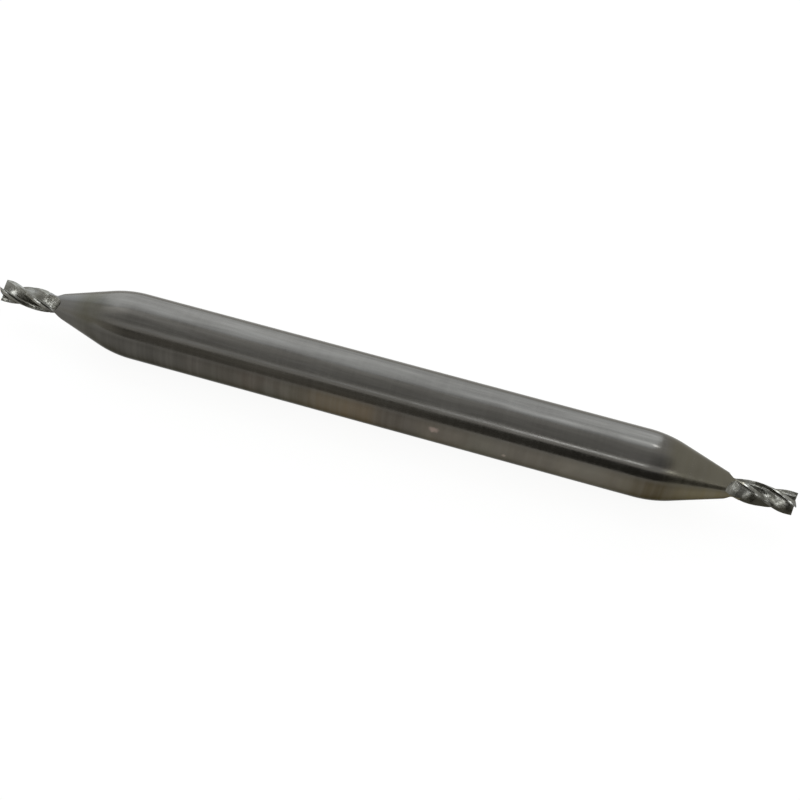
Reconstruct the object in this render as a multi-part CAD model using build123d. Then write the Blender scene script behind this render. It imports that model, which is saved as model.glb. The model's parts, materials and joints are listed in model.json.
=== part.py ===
from build123d import *
from math import acos, atan, atan2, cos, degrees, pi, radians, sin, sqrt, tan
import os

# A double-end miniature square end mill, ground from one bar of steel, in millimetres.
# The tool lies along X, centred on the origin. Both cutters are right-hand, so the left end is the
# right end turned half a turn about Z, never its mirror image.

# The blank: shank, cones and cutter cylinders
overall_length = 57.15
shank_diameter = 4.7625
cutter_diameter = 1.5875
cut_length = 4.25
cone_length = 4.9
shoulder_radius = 8.0
neck_radius = 0.4

# The flutes
flute_count = 4
helix_angle = 27.0
flute_depth = 0.34
rake_angle = 8.0
gullet_radius = 0.13
plain_neck = 0.75
land_fade = 0.12
wheel_radius = 1.2
wheel_bite = 0.01

# The lands, measured round the cutter behind each cutting edge
margin_width = 0.02
primary_width = 0.11
secondary_width = 0.19
primary_relief = 10.0
secondary_relief = 22.0

# The end teeth
end_dish = 2.0
end_land = 0.12
end_relief = 8.0
end_clearance = 22.0
gash_angle = 40.0
gash_opening = 60.0
gash_start = 0.10
gash_step = 0.01

# How far each cutter is turned about its own axis
right_clock = 60.75
left_clock = 57.75

# How far a cut overshoots the metal, and an edge
overshoot = 0.3
edge_lap = 0.03

cutter_radius = cutter_diameter / 2
shank_radius = shank_diameter / 2
tooth_angle = 360 / flute_count
turn_per_mm = 360 * tan(radians(helix_angle)) / (pi * cutter_diameter)
flute_length = cut_length - plain_neck


def polar(radius, angle):
    return Vector(radius * cos(radians(angle)), radius * sin(radians(angle)))


def angle_of(point):
    return degrees(atan2(point.Y, point.X))


def blank_half():
    """Half the shank, its cone and its neck. The neck tapers at its end, down to the heels of the lands."""
    end = overall_length / 2
    neck = end - cut_length
    shoulder = neck - cone_length
    flute_end = end - flute_length
    heel_radius = land_points(tooth_angle)[2].length
    shank_start = (0, shank_radius)
    neck_end = (flute_end - land_fade, cutter_radius)
    corners = [shank_start, (shoulder, shank_radius), (neck, cutter_radius), neck_end]
    outline = FilletPolyline(*corners, radius=[shoulder_radius, neck_radius])
    closing = Polyline(neck_end, (flute_end, heel_radius - edge_lap), (flute_end, 0), (0, 0), shank_start)
    return revolve(make_face(outline.edges() + closing.edges()), Axis.X)


def relieved(start, width, relief):
    """The point a width behind start, along a flat that falls away from the cutting circle."""
    return start + polar(width, angle_of(start) - 90 - relief)


def land_points(edge_angle):
    """Margin end, primary relief end and heel, behind the cutting edge at an angle."""
    margin = polar(cutter_radius, edge_angle - degrees(margin_width / cutter_radius))
    primary = relieved(margin, primary_width, primary_relief)
    heel = relieved(primary, secondary_width, secondary_relief)
    return margin, primary, heel


def gullet_centre():
    """Centre of the gullet's arc, which touches the rake face and the core circle."""
    inward = polar(-1, rake_angle)
    start = polar(cutter_radius, 0) + polar(gullet_radius, rake_angle + 90)
    distance = cutter_radius - flute_depth + gullet_radius
    half = start.dot(inward)
    return start - inward * (half + sqrt(half**2 - start.dot(start) + distance**2))


def flute_points():
    """Foot of the rake face, bottom of the gullet and foot of the back, ahead of the tooth at angle zero."""
    centre = gullet_centre()
    to_heel = land_points(tooth_angle)[2] - centre
    rake_side = rake_angle + 270
    back_side = angle_of(to_heel) + degrees(acos(gullet_radius / to_heel.length))
    sides = (rake_side, (rake_side + back_side) / 2, back_side)
    return [centre + polar(gullet_radius, side) for side in sides]


def cutter_section():
    """The section of the cutter square to its axis, tooth by tooth round the circle."""
    rake_foot, bottom, back_foot = flute_points()
    margin, primary, heel = land_points(tooth_angle)
    edge = polar(cutter_radius, tooth_angle)
    middle = polar(cutter_radius, (angle_of(margin) + tooth_angle) / 2)
    tooth = [
        Line(polar(cutter_radius, 0), rake_foot),
        ThreePointArc(rake_foot, bottom, back_foot),
        Line(back_foot, heel),
        Line(heel, primary),
        Line(primary, margin),
        ThreePointArc(margin, middle, edge),
    ]
    return make_face([Rot(0, 0, tooth_angle * i) * line for i in range(flute_count) for line in tooth])


def fluted_bar():
    """The cutter's section twisted along the helix, from inside the cone to past the tip."""
    bottom = flute_length + overshoot
    start = (0, 0, -bottom)
    length = bottom + overshoot
    section = Pos(*start) * Rot(0, 0, -bottom * turn_per_mm) * cutter_section()
    twist = length * turn_per_mm
    return Solid.extrude_linear_with_rotation(section.face(), start, (0, 0, length), twist)


def end_dish_cut():
    """The metal above the shallow hollow cone of the end face."""
    depth = cutter_radius * tan(radians(end_dish))
    reach = 2 * cutter_radius
    top = 2 * overshoot
    outline = Polyline((0, -depth), (reach, depth), (reach, top), (0, top), close=True)
    return revolve(Plane.XZ * make_face(outline), Axis.Z)


def end_land_cut():
    """The metal above the two end reliefs of one tooth, which fall away behind its end edge."""
    edge_length = cutter_radius * cos(radians(rake_angle))
    edge_offset = cutter_radius * sin(radians(rake_angle))
    slab = Pos(overshoot, edge_lap, 0) * Box(
        edge_length + edge_offset + overshoot,
        cutter_diameter,
        cutter_diameter,
        align=(Align.MAX, Align.MAX, Align.MIN),
    )
    primary = Rot(0, -end_dish, 0) * Rot(end_relief, 0, 0)
    secondary = primary * Pos(0, -end_land, 0) * Rot(end_clearance - end_relief, 0, 0)
    return Pos(edge_length, 0, 0) * (primary * slab + secondary * slab)


def gash_cut():
    """The notch ahead of one end edge, from beside the centre down into the flute."""
    down = Vector(cos(radians(gash_angle)), 0, -sin(radians(gash_angle)))
    plane = Plane(origin=(gash_start, gash_step, 0), x_dir=(0, 1, 0), z_dir=down)
    height = cutter_diameter
    width = height * tan(radians(gash_opening))
    notch = make_face(Polyline((0, 0), (0, height), (width, height), close=True))
    return extrude(plane * notch, cutter_diameter)


def wheel_cut():
    """The sweep of the grinding wheel out of the cone, at the end of the flute ahead of angle zero."""
    rake_foot, bottom, back_foot = flute_points()
    heel = land_points(tooth_angle)[2]
    along_back = (heel - back_foot).normalized()
    outward = Vector(along_back.Y, -along_back.X)
    middle_radius = (cutter_radius + back_foot.length) / 2
    travel_angle = degrees(atan(middle_radius * radians(turn_per_mm)))
    width = (heel - back_foot).length + gullet_radius + overshoot
    wheel = Cylinder(wheel_radius, width, align=(Align.CENTER, Align.CENTER, Align.MIN))
    rim = wheel.edges().filter_by(GeomType.CIRCLE).sort_by(Axis.Z)[0]
    wheel = fillet(rim, gullet_radius)
    seat = back_foot - along_back * gullet_radius + outward * (wheel_radius - wheel_bite)
    plane = Plane(origin=seat, x_dir=outward, z_dir=along_back)
    placed = plane.location * wheel
    placed = placed.rotate(Axis(seat, outward), -travel_angle)
    return Pos(0, 0, -flute_length) * Rot(0, 0, -flute_length * turn_per_mm) * placed


def tooth_cuts():
    """The cuts at both ends of the flute ahead of the cutting edge that meets the tip at angle zero."""
    end_edge = Rot(0, 0, rake_angle) * Pos(0, -cutter_radius * sin(radians(rake_angle)), 0)
    return [end_edge * end_land_cut(), end_edge * gash_cut(), wheel_cut()]


def fluted_half():
    """One half of the tool, with its cutter ground one cut after another."""
    tip = Plane(origin=(overall_length / 2, 0, 0), x_dir=(0, 1, 0), z_dir=(1, 0, 0)).location
    half = blank_half() + tip * fluted_bar() - tip * end_dish_cut()
    for cut in tooth_cuts():
        for i in range(flute_count):
            half -= tip * Rot(0, 0, tooth_angle * i) * cut
    return half


def end_mill():
    """Both halves of the one bar, the left one turned end for end."""
    half = fluted_half()
    return Rot(right_clock, 0, 0) * half + Rot(0, 0, 180) * Rot(left_clock, 0, 0) * half


os.makedirs("parts", exist_ok=True)
tool = end_mill()
tool.label = "end_mill"
export_step(tool, "parts/end_mill.step")
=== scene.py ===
import bpy
import bmesh
import json
import numpy as np
from math import acos, atan, atan2, cos, degrees, pi, radians, sin, sqrt, tan
from mathutils import Matrix, Vector

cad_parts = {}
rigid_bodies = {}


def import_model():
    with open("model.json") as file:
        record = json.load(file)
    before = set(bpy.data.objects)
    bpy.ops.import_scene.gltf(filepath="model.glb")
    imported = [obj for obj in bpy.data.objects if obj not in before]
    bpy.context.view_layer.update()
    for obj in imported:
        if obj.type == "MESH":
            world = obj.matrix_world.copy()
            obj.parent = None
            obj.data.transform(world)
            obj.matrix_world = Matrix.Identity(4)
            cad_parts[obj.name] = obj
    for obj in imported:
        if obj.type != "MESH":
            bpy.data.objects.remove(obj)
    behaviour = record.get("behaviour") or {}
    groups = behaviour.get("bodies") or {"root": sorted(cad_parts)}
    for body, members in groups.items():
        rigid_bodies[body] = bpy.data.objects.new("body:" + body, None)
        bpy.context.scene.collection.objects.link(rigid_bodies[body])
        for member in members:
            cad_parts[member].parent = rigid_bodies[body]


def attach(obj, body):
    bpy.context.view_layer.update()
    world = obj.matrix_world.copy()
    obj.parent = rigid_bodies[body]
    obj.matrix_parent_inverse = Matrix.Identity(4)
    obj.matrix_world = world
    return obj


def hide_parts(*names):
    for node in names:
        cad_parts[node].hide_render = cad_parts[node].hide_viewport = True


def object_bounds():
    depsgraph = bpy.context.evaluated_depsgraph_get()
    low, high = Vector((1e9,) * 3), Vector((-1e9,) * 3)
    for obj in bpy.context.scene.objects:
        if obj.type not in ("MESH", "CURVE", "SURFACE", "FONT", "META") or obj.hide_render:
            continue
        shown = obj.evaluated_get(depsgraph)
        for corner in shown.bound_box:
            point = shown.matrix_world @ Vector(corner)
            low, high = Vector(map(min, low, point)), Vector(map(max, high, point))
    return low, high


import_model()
cad_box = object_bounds()

MM = 0.001

# The tool's sizes in millimetres and degrees, as the CAD has them
shank_diameter = 4.7625
cutter_diameter = 1.5875
cut_length = 4.25
cone_length = 4.9
shoulder_radius = 8.0
neck_radius = 0.4
flute_count = 4
helix_angle = 27.0
flute_depth = 0.34
rake_angle = 8.0
gullet_radius = 0.13
plain_neck = 0.75
land_fade = 0.12
wheel_radius = 1.2
wheel_bite = 0.01
margin_width = 0.02
primary_width = 0.11
secondary_width = 0.19
primary_relief = 10.0
secondary_relief = 22.0
end_dish = 2.0
end_land = 0.12
end_relief = 8.0
end_clearance = 22.0
gash_angle = 40.0
gash_opening = 60.0
gash_start = 0.10
gash_step = 0.01
# How far each cutter is turned about the tool's axis
right_clock = 60.75
left_clock = 57.75
# How far the cutting bodies reach past what they cut, and how far surfaces lap at an edge
overshoot = 0.3
edge_lap = 0.03

cutter_radius = cutter_diameter / 2
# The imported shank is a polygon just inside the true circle, and the fine one stays inside its box
shank_radius = min(cad_box[1].y, cad_box[1].z) / MM
half_length = cad_box[1].x / MM
tooth_angle = 360 / flute_count
turn_per_mm = 360 * tan(radians(helix_angle)) / (pi * cutter_diameter)
flute_length = cut_length - plain_neck

# Each end is made apart and joined to the shank this far from its tip. The rest are tolerances there
end_length = 6.6
join_x = half_length - end_length
join_gap = 0.01
cap_tolerance = 1e-4
weld_distance = 1e-3
sliver_length = 1e-5

# How many steps each surface is cut up into
ring_steps = 240
shank_steps = 12
shoulder_steps = 30
cone_steps = 40
neck_arc_steps = 8
neck_steps = 3
fade_steps = 2
rake_face_steps = 5
gullet_steps = 12
back_steps = 7
secondary_steps = 3
primary_steps = 2
dish_steps = 64
wheel_steps = 160
wheel_rim_steps = 10
# Length of one step along the flutes, and the angle from which an edge is sharp
twist_step = 0.035
sharp_angle = 14

# A small nick in the front of the shank, where the rings lie closer, and a light speck further right
nick_x = 4.13
nick_angle = 5.5
nick_radius = 0.17
nick_depth = 0.02
nick_step = 0.03
nick_steps = 8
nick_clear = 0.3
speck_place = Vector((9.11, -2.34, -0.42))

# The material slots of the tool's mesh
SHANK, FLUTE = 0, 1


# Geometry
def in_scene(name, data):
    """A new object in the scene."""
    made = bpy.data.objects.new(name, data)
    bpy.context.scene.collection.objects.link(made)
    return made


def polar(radius, angle):
    return Vector((radius * cos(radians(angle)), radius * sin(radians(angle))))


def angle_of(p):
    return degrees(atan2(p.y, p.x))


def arc(centre, radius, start, end, steps):
    return [centre + polar(radius, start + (end - start) * i / steps) for i in range(steps + 1)]


def line(a, b, steps):
    return [a.lerp(b, i / steps) for i in range(steps + 1)]


def fillet_points(a, corner, b, radius, steps):
    """Points of the arc that rounds a corner between two straight lines."""
    u, v = (a - corner).normalized(), (b - corner).normalized()
    half = acos(max(-1, min(1, u.dot(v)))) / 2
    reach = radius / tan(half)
    centre = corner + (u + v).normalized() * radius / sin(half)
    first, last = corner + u * reach, corner + v * reach
    start, end = angle_of(first - centre), angle_of(last - centre)
    if end - start > 180:
        end -= 360
    if start - end > 180:
        end += 360
    return arc(centre, radius, start, end, steps)


def relieved(start, width, relief):
    """The far end of a land that falls away from the circle by its relief angle."""
    return start + polar(width, angle_of(start) - 90 - relief)


def land_points(edge_angle):
    """The ends of the margin, the primary land and the secondary land behind an edge."""
    margin = polar(cutter_radius, edge_angle - degrees(margin_width / cutter_radius))
    primary = relieved(margin, primary_width, primary_relief)
    return margin, primary, relieved(primary, secondary_width, secondary_relief)


def gullet():
    """Centre of the gullet's arc and the angles at which the rake face and the back leave it."""
    inward = polar(-1, rake_angle)
    start = polar(cutter_radius, 0) + polar(gullet_radius, rake_angle + 90)
    distance = cutter_radius - flute_depth + gullet_radius
    half = start.dot(inward)
    centre = start - inward * (half + sqrt(half**2 - start.dot(start) + distance**2))
    to_heel = land_points(tooth_angle)[2] - centre
    back_angle = angle_of(to_heel) + degrees(acos(gullet_radius / to_heel.length))
    return centre, rake_angle + 270, back_angle


def cutter_section():
    """The outline of the cutter's cross section, tooth after tooth."""
    centre, rake_side, back_side = gullet()
    margin, primary, heel = land_points(tooth_angle)
    edge = polar(cutter_radius, 0)
    bottom = arc(centre, gullet_radius, rake_side, back_side, gullet_steps)
    tooth = line(edge, bottom[0], rake_face_steps)[:-1] + bottom[:-1]
    tooth += line(bottom[-1], heel, back_steps)[:-1] + line(heel, primary, secondary_steps)[:-1]
    tooth += line(primary, margin, primary_steps)
    turned = []
    for i in range(flute_count):
        turn = Matrix.Rotation(radians(tooth_angle * i), 2)
        turned += [turn @ p for p in tooth]
    return turned


def blank_outline():
    """(x, radius) along the bar's outline, from the middle of the shank to the end of the neck."""
    neck = half_length - cut_length
    flute_end = half_length - flute_length
    heel = land_points(tooth_angle)[2].length
    middle = Vector((0, shank_radius))
    shoulder = Vector((neck - cone_length, shank_radius))
    cone_foot = Vector((neck, cutter_radius))
    fade_start = Vector((flute_end - land_fade, cutter_radius))
    fade_end = Vector((flute_end, heel - edge_lap))
    near_nick = [nick_x + nick_step * i for i in range(-nick_steps, nick_steps + 1)]
    spread = [p.x for p in line(middle, shoulder, shank_steps)[:-1] if abs(p.x - nick_x) > nick_clear]
    points = [Vector((x, shank_radius)) for x in sorted(spread + near_nick)]
    shoulder_arc = fillet_points(middle, shoulder, cone_foot, shoulder_radius, shoulder_steps)
    points = [p for p in points if p.x < shoulder_arc[0].x] + shoulder_arc
    neck_arc = fillet_points(shoulder, cone_foot, fade_start, neck_radius, neck_arc_steps)
    points += line(points[-1], neck_arc[0], cone_steps)[1:] + neck_arc[1:]
    points += line(neck_arc[-1], fade_start, neck_steps)[1:]
    points += line(fade_start, fade_end, fade_steps)[1:]
    return points


def radius_at(x):
    points = blank_outline()
    return float(np.interp(x, [p.x for p in points], [p.y for p in points]))


def as_object(bm, slot):
    """An object in the making, with both steels. Its faces take the one in the slot."""
    bmesh.ops.recalc_face_normals(bm, faces=bm.faces)
    for f in bm.faces:
        f.smooth = True
        f.material_index = slot
    mesh = bpy.data.meshes.new("work")
    bm.to_mesh(mesh)
    bm.free()
    mesh.materials.append(shank_steel)
    mesh.materials.append(flute_steel)
    return in_scene("work", mesh)


def from_rings(rings, slot):
    """A closed solid through equal rings of points, with a flat cap on each end."""
    bm = bmesh.new()
    loops = [[bm.verts.new(p) for p in ring] for ring in rings]
    for a, b in zip(loops, loops[1:]):
        for i in range(len(a)):
            j = (i + 1) % len(a)
            bm.faces.new((a[i], a[j], b[j], b[i]))
    bm.faces.new(loops[0][::-1])
    bm.faces.new(loops[-1])
    return as_object(bm, slot)


def lathe(outline, steps, slot, matrix=Matrix()):
    """A solid turned about local Z. The outline is (radius, z) pairs that start and end on the axis."""
    bm = bmesh.new()
    rings = []
    for radius, z in outline:
        if radius == 0:
            rings.append([bm.verts.new(matrix @ Vector((0, 0, z)))] * steps)
            continue
        ring = []
        for i in range(steps):
            p = polar(radius, 360 * i / steps)
            ring.append(bm.verts.new(matrix @ Vector((p.x, p.y, z))))
        rings.append(ring)
    for a, b in zip(rings, rings[1:]):
        for i in range(steps):
            j = (i + 1) % steps
            corners = []
            for v in (a[i], a[j], b[j], b[i]):
                if v not in corners:
                    corners.append(v)
            if len(corners) > 2:
                bm.faces.new(corners)
    return as_object(bm, slot)


def prism(corners, matrix):
    """A straight cutting body on a flat outline, as high as the cutter is wide."""
    rings = [[matrix @ Vector((x, y, z)) for x, y in corners] for z in (0, cutter_diameter)]
    return from_rings(rings, FLUTE)


def combine(target, tools, operation):
    """Adds several closed solids to an object or takes them away, in one exact step."""
    group = bpy.data.collections.new("tools")
    for tool in tools:
        group.objects.link(tool)
    mod = target.modifiers.new("cut", "BOOLEAN")
    mod.operand_type = "COLLECTION"
    mod.collection = group
    mod.operation = operation
    mod.solver = "EXACT"
    mod.use_self = len(tools) > 1
    bpy.context.view_layer.update()
    graph = bpy.context.evaluated_depsgraph_get()
    mesh = bpy.data.meshes.new_from_object(target.evaluated_get(graph))
    target.modifiers.clear()
    target.data = mesh
    for tool in tools:
        bpy.data.objects.remove(tool)
    bpy.data.collections.remove(group)


def bar_end():
    """The plain bar from the join to where the flutes begin. The tool's tip is at local Z = 0."""
    start = join_x - half_length
    outline = [(0, start), (radius_at(join_x), start)]
    outline += [(p.y, p.x - half_length) for p in blank_outline() if p.x > join_x + join_gap]
    outline.append((0, outline[-1][1]))
    return lathe(outline, ring_steps, SHANK)


def twisted_section():
    """The cutter's section turned along the helix, from inside the neck to past the tip."""
    section = cutter_section()
    bottom = flute_length + overshoot
    count = int((bottom + overshoot) / twist_step)
    rings = []
    for i in range(count + 1):
        z = -bottom + (bottom + overshoot) * i / count
        turn = Matrix.Rotation(radians(z * turn_per_mm), 2)
        rings.append([Vector((*(turn @ p), z)) for p in section])
    return from_rings(rings, FLUTE)


def wheel_outline(width):
    """(radius, z) round the grinding wheel, with the gullet's radius on its rim."""
    g = gullet_radius
    angles = [radians(90 * i / wheel_rim_steps) for i in range(wheel_rim_steps + 1)]
    rim = [(wheel_radius - g + g * sin(a), g - g * cos(a)) for a in angles]
    return [(0, 0)] + rim + [(wheel_radius, width), (0, width)]


def wheel_place():
    """How the grinding wheel stands where it leaves a flute, and how wide it is."""
    centre, _, back_side = gullet()
    back_foot = centre + polar(gullet_radius, back_side)
    heel = land_points(tooth_angle)[2]
    along = (heel - back_foot).normalized()
    outward = Vector((along.y, -along.x, 0))
    along = Vector((along.x, along.y, 0))
    travel = atan((cutter_radius + back_foot.length) / 2 * radians(turn_per_mm))
    seat = back_foot.to_3d() - along * gullet_radius + outward * (wheel_radius - wheel_bite)
    basis = Matrix((outward, along.cross(outward), along)).transposed().to_4x4()
    turned = Matrix.Rotation(radians(-flute_length * turn_per_mm), 4, "Z")
    place = Matrix.Translation((0, 0, -flute_length)) @ turned
    place = place @ Matrix.Translation(seat) @ Matrix.Rotation(-travel, 4, outward) @ basis
    return place, (heel - back_foot).length + gullet_radius + overshoot


def end_cuts():
    """What is ground off the tip: the dish, and for each tooth two reliefs, a gash and a run-out."""
    depth = cutter_radius * tan(radians(end_dish))
    dish = [(0, -depth), (cutter_diameter, depth), (cutter_diameter, 2 * overshoot), (0, 2 * overshoot)]
    cuts = [lathe(dish, dish_steps, FLUTE)]
    reach = cutter_radius * cos(radians(rake_angle))
    offset = cutter_radius * sin(radians(rake_angle))
    slab = [(-reach - offset, edge_lap), (-reach - offset, edge_lap - cutter_diameter)]
    slab += [(overshoot, edge_lap - cutter_diameter), (overshoot, edge_lap)]
    gash_width = cutter_diameter * tan(radians(gash_opening))
    notch = [(0, 0), (0, cutter_diameter), (gash_width, cutter_diameter)]
    a = radians(gash_angle)
    gash = Matrix((
        (0, sin(a), cos(a), gash_start),
        (1, 0, 0, gash_step),
        (0, cos(a), -sin(a), 0),
        (0, 0, 0, 1),
    ))
    wheel, width = wheel_place()
    steeper = Matrix.Rotation(radians(end_clearance - end_relief), 4, "X")
    for i in range(flute_count):
        turned = Matrix.Rotation(radians(tooth_angle * i), 4, "Z")
        edge = turned @ Matrix.Rotation(radians(rake_angle), 4, "Z") @ Matrix.Translation((0, -offset, 0))
        tilt = edge @ Matrix.Translation((reach, 0, 0)) @ Matrix.Rotation(radians(-end_dish), 4, "Y")
        tilt = tilt @ Matrix.Rotation(radians(end_relief), 4, "X")
        cuts.append(prism(slab, tilt))
        cuts.append(prism(slab, tilt @ Matrix.Translation((0, -end_land, 0)) @ steeper))
        cuts.append(prism(notch, edge @ gash))
        cuts.append(lathe(wheel_outline(width), wheel_steps, FLUTE, turned @ wheel))
    return cuts


def cutter_end():
    """One end of the tool, from the join to the tip, with its flutes and end teeth ground in."""
    end = bar_end()
    combine(end, [twisted_section()], "UNION")
    combine(end, end_cuts(), "DIFFERENCE")
    return end


def shank_between():
    """The shank and the wide parts of the cones, between the two joins."""
    outline = [p for p in blank_outline() if p.x < join_x - join_gap]
    outline.append(Vector((join_x, radius_at(join_x))))
    mirrored = [Vector((-p.x, p.y)) for p in outline[:0:-1]]
    rings = []
    for p in mirrored + outline:
        turned = [polar(p.y, 360 * i / ring_steps + right_clock) for i in range(ring_steps)]
        rings.append([(p.x, q.x, q.y) for q in turned])
    return from_rings(rings, SHANK)


def weld_joins(bm):
    """Opens both joins, welds their rims, and clears the slivers that the cuts leave behind."""
    caps = [f for f in bm.faces if all(abs(abs(v.co.x) - join_x) < cap_tolerance for v in f.verts)]
    bmesh.ops.delete(bm, geom=caps, context="FACES")
    rims = [v for v in bm.verts if abs(abs(v.co.x) - join_x) < weld_distance]
    bmesh.ops.remove_doubles(bm, verts=rims, dist=weld_distance)
    bmesh.ops.triangulate(bm, faces=[f for f in bm.faces if len(f.verts) > 4])
    bmesh.ops.dissolve_degenerate(bm, dist=sliver_length, edges=bm.edges)
    bmesh.ops.delete(bm, geom=[v for v in bm.verts if not v.link_faces], context="VERTS")


def nick_place():
    angle = radians(nick_angle)
    return Vector((nick_x, -shank_radius * cos(angle), shank_radius * sin(angle)))


def press_nick(bm):
    nick = nick_place()
    for v in bm.verts:
        away = (v.co - nick).length / nick_radius
        if away < 1:
            depth = nick_depth * (1 - away**2) ** 2
            v.co.yz = v.co.yz * (1 - depth / shank_radius)


def tool_mesh():
    """Both ends and the shank between them, as one closed surface in metres."""
    bm = bmesh.new()
    bm.from_mesh(shank_between().data)
    end = cutter_end().data
    to_world = Matrix(((0, 0, 1, half_length), (1, 0, 0, 0), (0, 1, 0, 0), (0, 0, 0, 1)))
    for clock, turn in ((right_clock, 0), (left_clock, pi)):
        placed = end.copy()
        placed.transform(Matrix.Rotation(turn, 4, "Z") @ to_world @ Matrix.Rotation(radians(clock), 4, "Z"))
        bm.from_mesh(placed)
    weld_joins(bm)
    press_nick(bm)
    bmesh.ops.scale(bm, verts=bm.verts, vec=(MM, MM, MM))
    mesh = bpy.data.meshes.new("end_mill_body")
    bm.to_mesh(mesh)
    bm.free()
    for made in [o for o in bpy.data.objects if o.name.startswith("work")]:
        bpy.data.objects.remove(made)
    mesh.materials.append(shank_steel)
    mesh.materials.append(flute_steel)
    for p in mesh.polygons:
        p.use_smooth = True
    mesh.set_sharp_from_angle(angle=radians(sharp_angle))
    return mesh


# Materials
def rgb(r, g, b):
    return (r, g, b, 1)


# The colour sockets of a Mix node by number, because several of its sockets share each name
MIX_A, MIX_B, MIX_RESULT = 6, 7, 2


class Nodes:
    """The nodes of one material. Each call adds a node, joins its inputs and gives back its output."""

    def __init__(self, name):
        self.material = bpy.data.materials.new(name)
        self.material.use_nodes = True
        self.tree = self.material.node_tree

    def add(self, kind, inputs, output=0, **settings):
        node = self.tree.nodes.new("ShaderNode" + kind)
        for key, value in settings.items():
            setattr(node, key, value)
        for key, value in inputs.items():
            self.put(node.inputs[key], value)
        return node.outputs[output]

    def put(self, socket, value):
        if isinstance(value, bpy.types.NodeSocket):
            self.tree.links.new(value, socket)
        else:
            socket.default_value = value

    def math(self, operation, a, b):
        return self.add("Math", {0: a, 1: b}, operation=operation)

    def plus(self, a, b):
        return self.math("ADD", a, b)

    def minus(self, a, b):
        return self.math("SUBTRACT", a, b)

    def times(self, a, b):
        return self.math("MULTIPLY", a, b)

    def point(self):
        """The place of a point in metres, in the tool's own frame."""
        return self.add("TexCoord", {}, output="Object")

    def part(self, point, axis):
        """The X, Y or Z of a point."""
        return self.add("SeparateXYZ", {0: point}, output=axis)

    def scaled(self, point, x, y, z):
        return self.add("Mapping", {"Vector": point, "Scale": (x, y, z)})

    def shifted(self, operation, point, by):
        return self.add("VectorMath", {0: point, 1: by}, operation=operation)

    def length(self, vector):
        return self.add("VectorMath", {0: vector}, output="Value", operation="LENGTH")

    def distance(self, a, b):
        return self.add("VectorMath", {0: a, 1: b}, output="Value", operation="DISTANCE")

    def from_axis(self, point):
        """How far a point is from the tool's axis."""
        return self.length(self.scaled(point, 0, 1, 1))

    def noise(self, point, scales, detail=2, roughness=0.5, distortion=0.0):
        """Noise in cells of 1 / scale metres along x, y and z."""
        values = {"Vector": self.scaled(point, *scales), "Scale": 1.0, "Detail": detail}
        return self.add("TexNoise", {**values, "Roughness": roughness, "Distortion": distortion})

    def jagged(self, point, scale, size):
        """A point with a small shift, another one at each place. size is in metres."""
        values = {"Vector": point, "Scale": scale, "Detail": 2}
        centred = self.shifted("SUBTRACT", self.add("TexNoise", values, output="Color"), (0.5, 0.5, 0.5))
        shift = self.add("VectorMath", {0: centred, "Scale": size * 2}, operation="SCALE")
        return self.shifted("ADD", point, shift)

    def fit(self, value, low, high, to_low=0.0, to_high=1.0):
        values = {"Value": value, "From Min": low, "From Max": high, "To Min": to_low, "To Max": to_high}
        return self.add("MapRange", values)

    def span(self, value, low, high, to_low=0.0, to_high=1.0):
        """Fits a length in metres between low and high in millimetres."""
        return self.fit(value, low * MM, high * MM, to_low, to_high)

    def past(self, value, mark, reach):
        """Rises from 0 to 1 as a length in metres passes a mark, from reach before it to reach behind
        it, in millimetres."""
        return self.span(value, mark - reach, mark + reach)

    def near(self, value, mark, inner, outer, amount):
        """The amount within inner of a mark, falling to none at outer, all three in millimetres."""
        away = self.math("ABSOLUTE", self.minus(value, mark * MM), 0.0)
        return self.span(away, inner, outer, amount, 0.0)

    def blend(self, factor, a, b):
        return self.add("Mix", {0: factor, MIX_A: a, MIX_B: b}, output=MIX_RESULT, data_type="RGBA")

    def over(self, base, colour, value, low, high, amount=1.0):
        """Lays a colour over another, not at all where the value is at low, by the amount at high."""
        return self.blend(self.fit(value, low, high, 0.0, amount), base, colour)

    def metal(self, colour, roughness, height, depth, edge_tint):
        """Joins the results to a metal shader. depth is the height of the relief in metres."""
        shader = self.tree.nodes["Principled BSDF"]
        bump = self.add("Bump", {"Height": height, "Strength": 1.0, "Distance": depth})
        self.put(shader.inputs["Base Color"], colour)
        self.put(shader.inputs["Roughness"], roughness)
        self.put(shader.inputs["Normal"], bump)
        shader.inputs["Metallic"].default_value = 1.0
        self.put(shader.inputs["Specular Tint"], edge_tint)
        return self.material

    def surface(self, shader):
        """Makes a shader the material's surface, instead of the one it starts with."""
        self.tree.nodes.remove(self.tree.nodes["Principled BSDF"])
        self.put(self.tree.nodes["Material Output"].inputs["Surface"], shader)
        return self.material


# Colours of the shank: its bare steel, its staining with painted shade on the front and underside, a rim of
# painted shade, and the marks on both
clean_steel = rgb(0.1, 0.0955, 0.085)
clean_patch = rgb(0.091, 0.0865, 0.077)
pale_streak = rgb(0.148, 0.143, 0.131)
dark_streak = rgb(0.03, 0.029, 0.027)
right_cone_steel = rgb(0.112, 0.104, 0.079)
right_cone_patch = rgb(0.097, 0.09, 0.068)
left_cone_steel = rgb(0.105, 0.103, 0.092)
left_cone_patch = rgb(0.085, 0.082, 0.062)
left_neck_steel = rgb(0.122, 0.119, 0.11)
# Colours of the front and underside: partly real staining, partly painted shade
olive_stain_and_shade = rgb(0.08, 0.075, 0.059)
brown_stain_and_shade = rgb(0.083, 0.066, 0.05)
pale_stain_and_shade = rgb(0.17, 0.16, 0.131)
cloudy_stain_and_shade = rgb(0.078, 0.069, 0.057)
warm_stain_and_shade = rgb(0.107, 0.081, 0.05)
dark_patch_and_shade = rgb(0.045, 0.04, 0.036)
left_stain_and_shade = rgb(0.056, 0.053, 0.047)
right_stain_and_shade = rgb(0.06, 0.047, 0.026)
cone_stain_and_shade = rgb(0.118, 0.101, 0.06)
pale_band = rgb(0.16, 0.15, 0.13)
dark_band = rgb(0.03, 0.027, 0.02)
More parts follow.
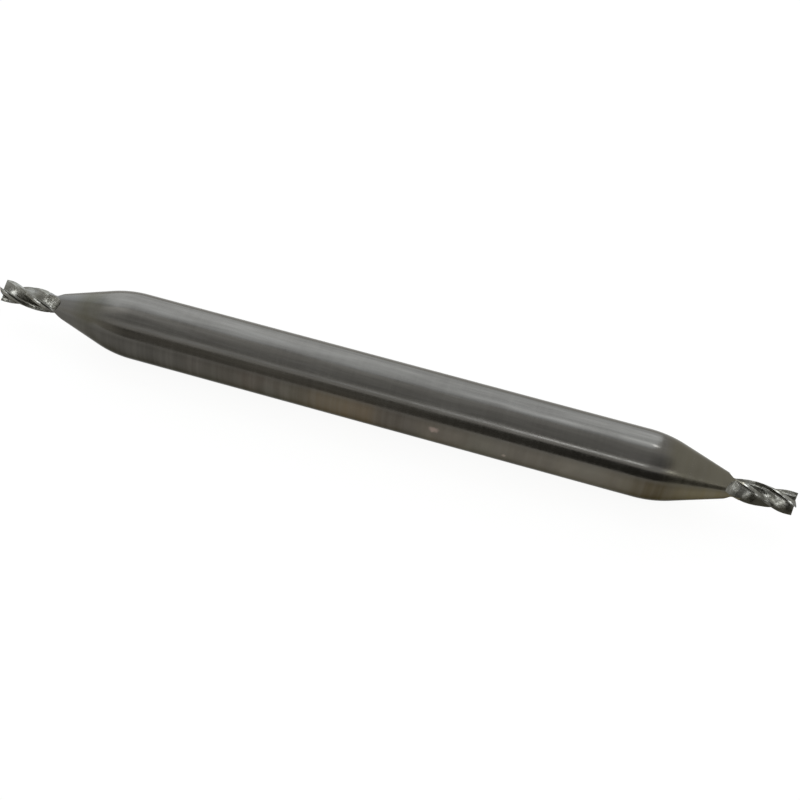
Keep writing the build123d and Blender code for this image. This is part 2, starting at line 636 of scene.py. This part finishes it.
# Near black, for a rim of painted shade where the staining begins
painted_shade_rim = rgb(0.012, 0.011, 0.009)
ring_line = rgb(0.128, 0.122, 0.107)
nick_steel = rgb(0.24, 0.19, 0.165)
speck_steel = rgb(0.24, 0.2, 0.17)
bare_edge = rgb(0.7, 0.69, 0.67)
stain_and_shade_edge = rgb(0.42, 0.42, 0.41)

# Colours of the cutters, with painted shade in the gullets and underneath
gullet_steel_with_shade = rgb(0.114, 0.111, 0.096)
land_steel = rgb(0.166, 0.163, 0.142)
flute_blotch = rgb(0.1, 0.097, 0.078)
scratch_line = rgb(0.27, 0.265, 0.245)
cutting_edge = rgb(0.3, 0.295, 0.28)
# Near black, for painted shade on the cutters' underside
underside_painted_shade = rgb(0.034, 0.032, 0.024)
flute_edge = rgb(0.5, 0.49, 0.47)

# Height of the relief in metres
shank_relief = 0.0000016
flute_relief = 0.00004

# Where the staining and its painted shade change along the tool: middle and reach in millimetres
stain_and_shade_pales = (3.0, 6.0)
stain_and_shade_leaves_left = (-9.0, 7.0)
stain_and_shade_darkens_right = (17.2, 1.7)
# Stretches of it with another colour: middle, inner and outer reach in millimetres, and amount
warm_stretch = (-2.4, 1.6, 4.6, 0.7)
dark_stretch = (1.7, 0.9, 2.2, 0.5)
# Depths behind the tool's middle between which the edge of the staining and painted shade turns ragged, in
# millimetres
ragged_depths = (0.2, 2.0)
# Distances between which the nick and the speck brighten, in millimetres, and by what amounts
nick_bright = (0.3, 0.1, 0.0, 0.75)
speck_bright = (0.16, 0.05, 0.0, 0.7)
# The scale and the size in metres of their jagged outline, and how far the nick is drawn out along x
mark_jags = (4200, 0.00016)
nick_stretch = 0.7
# Radii between which the painted shade of the gullets gives way to the land, and land into edge, in
# millimetres
gullet_to_land = (0.48, 0.7)
land_to_edge = (0.775, 0.79)
# Heights between which painted shade darkens the cutters underneath, in millimetres, then the places along
# the tool between which that grows, and its amounts there
underside = (0.36, -0.06)
underside_amount = (-24, 24, 0.2, 0.95)


def shank_material():
    """Cylindrically ground steel: fine rings round the bar, faint streaks along it and duller cones. On the
    front and underside lies brown staining mixed with painted shade, darker towards the underside: dark at
    the left, warm in the middle and then paler, with a dark rim of painted shade where it begins."""
    n = Nodes("ground_shank_steel")
    place = n.point()
    x, y, z = (n.part(place, axis) for axis in "XYZ")
    leftward = n.times(x, -1.0)
    neck = half_length - cut_length
    shoulder = neck - cone_length
    on_right_cone = n.past(x, shoulder + 0.2, 0.4)
    on_left_cone = n.past(leftward, shoulder + 1.4, 1.4)
    patches = n.noise(place, (420, 300, 300), detail=3, roughness=0.55, distortion=0.4)
    hue = n.noise(place, (260, 190, 190))
    clouds = n.noise(place, (150, 60, 60))
    bands = n.noise(place, (1500, 50, 50), detail=3, roughness=0.6)
    rings = n.noise(place, (2600, 60, 60), detail=4, roughness=0.6)
    fine = n.noise(place, (14000, 220, 220), detail=3, roughness=0.6)
    specks = n.noise(place, (5200, 5200, 5200))
    streaks = n.noise(place, (170, 2600, 2600), detail=3, roughness=0.6)

    clean = n.over(clean_steel, clean_patch, patches, 0.38, 0.66)
    clean = n.over(clean, pale_streak, streaks, 0.5, 0.66, 0.36)
    clean = n.over(clean, dark_streak, streaks, 0.48, 0.32, 0.24)
    right_tone = n.over(right_cone_steel, right_cone_patch, patches, 0.4, 0.62)
    left_tone = n.over(left_cone_steel, left_cone_patch, patches, 0.4, 0.62)
    left_tone = n.blend(n.past(leftward, neck - 2.0, 0.6), left_tone, left_neck_steel)
    bare = n.blend(on_left_cone, n.blend(on_right_cone, clean, right_tone), left_tone)

    # The staining of the front and underside with painted shade in it, its colour changing along the tool
    stain_and_shade = n.over(olive_stain_and_shade, brown_stain_and_shade, hue, 0.42, 0.58)
    stain_and_shade = n.blend(n.past(x, *stain_and_shade_pales), stain_and_shade, n.blend(0.6, stain_and_shade, pale_stain_and_shade))
    stain_and_shade = n.over(stain_and_shade, cloudy_stain_and_shade, clouds, 0.48, 0.6, 0.6)
    stain_and_shade = n.blend(n.near(x, *warm_stretch), stain_and_shade, warm_stain_and_shade)
    stain_and_shade = n.blend(n.near(x, *dark_stretch), stain_and_shade, dark_patch_and_shade)
    stain_and_shade = n.blend(n.past(x, *stain_and_shade_leaves_left), left_stain_and_shade, stain_and_shade)
    stain_and_shade = n.blend(n.past(x, *stain_and_shade_darkens_right), stain_and_shade, right_stain_and_shade)
    stain_and_shade = n.blend(n.past(x, shoulder + 1.3, 1.3), stain_and_shade, cone_stain_and_shade)
    stain_and_shade = n.over(stain_and_shade, n.blend(0.5, stain_and_shade, pale_band), bands, 0.4, 0.66, 0.35)
    stain_and_shade = n.over(stain_and_shade, n.blend(0.5, stain_and_shade, dark_band), patches, 0.45, 0.65, 0.45)

    # How high a point is, from -1 underneath to 1 on top. Behind, the edge of the staining and painted
    # shade is ragged
    level = n.math("DIVIDE", z, n.from_axis(place))
    behind = n.span(y, *ragged_depths)
    ragged = n.plus(n.times(n.minus(patches, 0.5), 2.4), 0.45)
    level = n.plus(level, n.times(behind, ragged))
    # A dark rim of painted shade along the upper edge of the staining
    stain_and_shade = n.over(stain_and_shade, painted_shade_rim, level, 0.12, 0.4, 0.35)
    # The share of staining and painted shade grows towards the underside, and is less on the left cone
    stain_and_shade_share = n.times(n.fit(level, 0.48, 0.25), n.minus(1.0, n.times(on_left_cone, 0.5)))
    steel = n.over(n.blend(stain_and_shade_share, bare, stain_and_shade), ring_line, rings, 0.3, 0.75, 0.26)

    jagged = n.jagged(place, *mark_jags)
    from_nick = n.scaled(n.shifted("SUBTRACT", jagged, nick_place() * MM), nick_stretch, 1, 1)
    steel = n.blend(n.span(n.length(from_nick), *nick_bright), steel, nick_steel)
    from_speck = n.distance(jagged, speck_place * MM)
    steel = n.blend(n.span(from_speck, *speck_bright), steel, speck_steel)

    rough = n.fit(patches, 0.35, 0.7, 0.12, 0.18)
    rough = n.plus(rough, n.fit(rings, 0.35, 0.7, -0.02, 0.05))
    rough = n.plus(rough, n.fit(specks, 0.4, 0.75, 0.0, 0.04))
    rough = n.plus(rough, n.times(n.plus(on_left_cone, on_right_cone), 0.04))
    height = n.plus(n.times(rings, 0.5), n.times(fine, 0.35))
    height = n.plus(height, n.times(specks, 0.08))
    # Grazing reflections are dimmer where the staining and painted shade lie
    return n.metal(steel, rough, height, shank_relief, n.blend(stain_and_shade_share, bare_edge, stain_and_shade_edge))


def flute_material():
    """Wheel-ground steel: an uneven surface with scratches that follow the helix, painted shade in the
    gullets, paler lands and painted shade on the underside."""
    n = Nodes("ground_flute_steel")
    place = n.point()
    x, z = n.part(place, "X"), n.part(place, "Z")
    radius = n.from_axis(place)
    back_turn = n.times(x, -radians(turn_per_mm) / MM)
    straight = n.add("VectorRotate", {"Vector": place, "Angle": back_turn}, rotation_type="X_AXIS")
    scratches = n.noise(straight, (500, 16000, 16000), detail=3, roughness=0.65)
    grain = n.noise(place, (9000, 9000, 9000), detail=3, roughness=0.6)
    waves = n.noise(place, (2600, 2600, 2600), detail=1)
    blotches = n.noise(place, (2200, 2200, 2200))

    # Painted shade in the gullets, paler on the lands
    steel = n.blend(n.span(radius, *gullet_to_land), gullet_steel_with_shade, land_steel)
    steel = n.over(steel, flute_blotch, blotches, 0.42, 0.64, 0.7)
    steel = n.over(steel, scratch_line, scratches, 0.45, 0.75, 0.35)
    steel = n.blend(n.times(n.span(radius, *land_to_edge), 0.15), steel, cutting_edge)
    # Painted shade on the cutters' underside, growing from left to right
    painted_shade_below = n.times(n.span(z, *underside), n.span(x, *underside_amount))
    steel = n.blend(painted_shade_below, steel, underside_painted_shade)
    rough = n.fit(grain, 0.3, 0.7, 0.2, 0.42)
    height = n.plus(waves, n.times(scratches, 0.09))
    height = n.plus(height, n.times(grain, 0.07))
    return n.metal(steel, rough, height, flute_relief, flute_edge)


# The tool
shank_steel = shank_material()
flute_steel = flute_material()
tool = in_scene("end_mill_body", tool_mesh())
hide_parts("end_mill")
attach(tool, "root")


# Stage, light and camera
# How far the light cards stand from the tool, in metres
card_distance = 0.4
lamp_distance = 0.39
shade_distance = 0.055
glint_distance = 0.0015


def graded_light(name, colour):
    """Plain light of one colour, as strong as the card's own corners say."""
    n = Nodes(name)
    glow = n.add("Attribute", {}, output="Fac", attribute_name="glow")
    return n.surface(n.add("Emission", {"Color": rgb(*colour), "Strength": glow}))


def card(name, columns, rows, colour, distance=card_distance, at=0.0, lights_floor=True):
    """A flat card of light beside the tool, which the camera doesn't see. columns are degrees to the left
    and right of at. rows are pairs of degrees round the tool, from level in front (0) over the top (90)
    to level behind (180), and the strength of the light there, one for each column."""
    middle = radians((rows[0][0] + rows[-1][0]) / 2)
    away = Vector((0, -cos(middle), sin(middle)))
    across = Vector((0, sin(middle), cos(middle)))
    corners, glow = [], []
    for angle, strengths in rows:
        for column, strength in zip(columns, strengths):
            sideways = Vector((at + distance * tan(radians(column)), 0, 0))
            corners.append(away * distance + across * distance * tan(radians(angle) - middle) + sideways)
            glow.append(strength)
    wide = len(columns)
    faces = []
    for j in range(len(rows) - 1):
        for i in range(wide - 1):
            k = j * wide + i
            faces.append((k, k + 1, k + 1 + wide, k + wide))
    data = bpy.data.meshes.new(name)
    data.from_pydata(corners, [], faces)
    data.attributes.new("glow", "FLOAT", "POINT").data.foreach_set("value", glow)
    data.materials.append(graded_light(name, colour))
    made = in_scene(name, data)
    made.visible_camera = False
    made.visible_shadow = False
    made.visible_diffuse = lights_floor


# The colours of the light, and the cards whose strengths give the shank its light and dark bands
sky_white = (0.88, 0.925, 1.0)
cool_white = (0.9, 0.935, 1.0)
plain_white = (0.97, 0.98, 1.0)
warm_white = (1.0, 0.97, 0.89)
card("panel_behind", (-56, -48, -43, -33, -20, -8, 0, 9, 15), [
    (98, (1.1, 1.4, 1.9, 1.7, 1.25, 1.1, 1.1, 1.1, 1.1)),
    (106, (1.1, 1.8, 2.5, 2.5, 2.1, 1.9, 2.2, 2.5, 2.5)),
    (116, (1.3, 2.2, 3.0, 3.1, 2.6, 2.4, 3.2, 3.8, 3.9)),
    (126, (1.3, 2.0, 3.0, 3.0, 2.7, 2.5, 2.0, 2.3, 2.3)),
    (146, (1.1, 1.7, 2.7, 2.9, 3.1, 3.1, 2.7, 3.4, 3.4)),
    (162, (1.1, 1.6, 2.6, 2.9, 2.6, 2.5, 2.2, 2.6, 2.6)),
    (179, (1.1, 1.6, 2.6, 2.8, 2.0, 2.1, 1.8, 1.8, 1.8)),
], sky_white)
card("lamp_behind", (11, 15), [(111, (7, 9)), (117, (7, 9))], cool_white, lamp_distance)
strip = (1.0, 1.1, 1.7, 3.2, 5.6, 5.0, 1.3, 1.3, 9, 12, 5)
card("strip_by_camera", (-32, -20, -8, 0, 5, 9, 12, 30, 34, 36, 39),
     [(37.3, strip), (41.2, strip)], cool_white)
card("shade_above", (-60, -52, -42, -33, -22, 0, 10, 18, 34), [
    (46, (0.95, 0.9, 0.8, 0.75, 0.65, 0.66, 0.6, 0.35, 0.3)),
    (62, (0.95, 1.0, 0.95, 0.85, 0.69, 0.7, 0.65, 0.45, 0.4)),
    (78, (1.0, 1.2, 1.4, 1.4, 0.95, 0.8, 0.75, 0.6, 0.6)),
    (92, (1.1, 1.4, 1.8, 1.8, 1.2, 1.05, 1.0, 0.8, 0.8)),
    (97.5, (1.1, 1.4, 1.9, 1.7, 1.25, 1.1, 1.1, 1.1, 0.9)),
], plain_white, lights_floor=False)
shade = (1.0, 0.75, 0.62, 0.52, 0.3, 0.46, 0.29, 0.2, 0.1, 0.1, 0.6)
card("shade_in_front", (-63, -60, -53.8, -45.7, -34.6, -20, -6.2, 5.2, 18.1, 53, 57),
     [(-2.2, shade), (27.4, shade)], warm_white, shade_distance, lights_floor=False)
# Small lamps close to the cutters, for the light spots on their teeth: place along the tool in
# millimetres, degrees round it, half the width in degrees, strength
spots = [(25.25, 97, 9.5, 8.0), (25.83, 40, 9.5, 5.0), (27.23, 110, 9.5, 10.0), (27.5, 68, 9.5, 6.0),
         (28.11, 49, 9.5, 8.0), (-28.1, 39, 13.0, 9.0), (-25.85, 28, 11.0, 9.0)]
for number, (x, angle, half, strength) in enumerate(spots):
    rows = [(angle - half, (strength, strength)), (angle + half, (strength, strength))]
    card("glint_%d" % number, (-half, half), rows, cool_white, glint_distance, x * MM, lights_floor=False)

world = bpy.data.worlds.new("studio")
world.use_nodes = True
world.node_tree.nodes["Background"].inputs["Color"].default_value = rgb(1, 1, 1)
world.node_tree.nodes["Background"].inputs["Strength"].default_value = 1.0
bpy.context.scene.world = world

floor_z = -shank_diameter / 2 * MM
floor_reach = 3
# How much of the floor is plain white to the camera and in mirror images. The rest takes the shadow
white_share = 0.93


def floor_material():
    """A pale floor that shows as white and keeps the tool's shadow."""
    n = Nodes("pale_floor")
    diffuse = n.add("BsdfDiffuse", {"Color": rgb(0.9, 0.9, 0.895)})
    white = n.add("Emission", {"Color": rgb(1, 1, 0.995), "Strength": 1.0})
    direct, glossy, through = [n.add("LightPath", {}, output="Is %s Ray" % kind)
                               for kind in ("Camera", "Glossy", "Transmission")]
    seen = n.math("MAXIMUM", direct, n.math("MAXIMUM", glossy, through))
    return n.surface(n.add("MixShader", {"Fac": n.times(seen, white_share), 1: diffuse, 2: white}))


data = bpy.data.meshes.new("floor")
corners = [(x * floor_reach, y * floor_reach, floor_z) for x, y in ((-1, -1), (1, -1), (1, 1), (-1, 1))]
data.from_pydata(corners, [], [(0, 1, 2, 3)])
data.materials.append(floor_material())
floor = in_scene("floor", data)

# The camera's lens, its reach in metres, its place in millimetres, and its right and up directions
camera_lens = 56.226
nearest, furthest = 0.005, 20
camera_place = Vector((11.3056, -60.2919, 61.1397))
right = Vector((0.95852291, 0.26584577, 0.1027612))
up = Vector((-0.25988606, 0.66719886, 0.69807229))
camera_data = bpy.data.cameras.new("camera")
camera_data.lens = camera_lens
camera_data.clip_start = nearest
camera_data.clip_end = furthest
camera = in_scene("camera", camera_data)
camera.rotation_mode = "QUATERNION"
camera.rotation_quaternion = Matrix((right, up, right.cross(up))).transposed().to_quaternion()
camera.location = camera_place * MM
bpy.context.scene.camera = camera

bpy.context.scene.view_settings.view_transform = "Standard"
